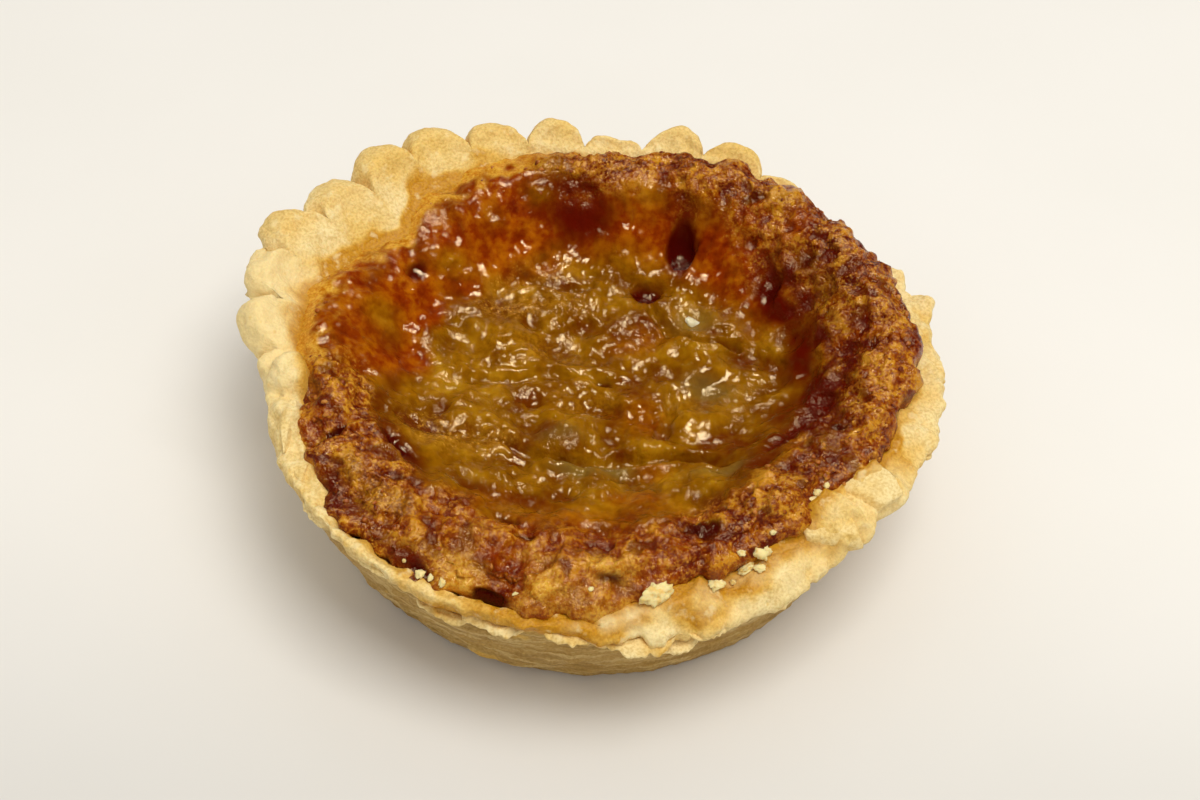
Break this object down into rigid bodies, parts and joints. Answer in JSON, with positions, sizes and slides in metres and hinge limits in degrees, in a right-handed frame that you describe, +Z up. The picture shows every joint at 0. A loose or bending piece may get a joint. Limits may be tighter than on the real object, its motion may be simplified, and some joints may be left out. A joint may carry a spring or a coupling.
{
  "type": "butter tart",
  "caption": "Single butter tart: scalloped pale pastry shell broken low along the front and right, with a sunken brown sugar filling and a rough crust.",
  "frame": {"origin": "centre of the bounding box's bottom, on the tart's flat base", "axes": "+Z up, +X along the tart's widest way, -Y towards the side where the scalloped rim has broken away"},
  "size_m": [0.0842, 0.0774, 0.0266],
  "materials": {
    "pastry": "matte, pale baked shortcrust, golden on the scallops and stained with syrup next to the filling",
    "filling": "sticky and glossy in the sunken middle, sugary and matte on the brown crust round it"
  },
  "bodies": {
    "root": {"pastry_shell": "pastry", "filling": "filling"}
  },
  "joints": []
}
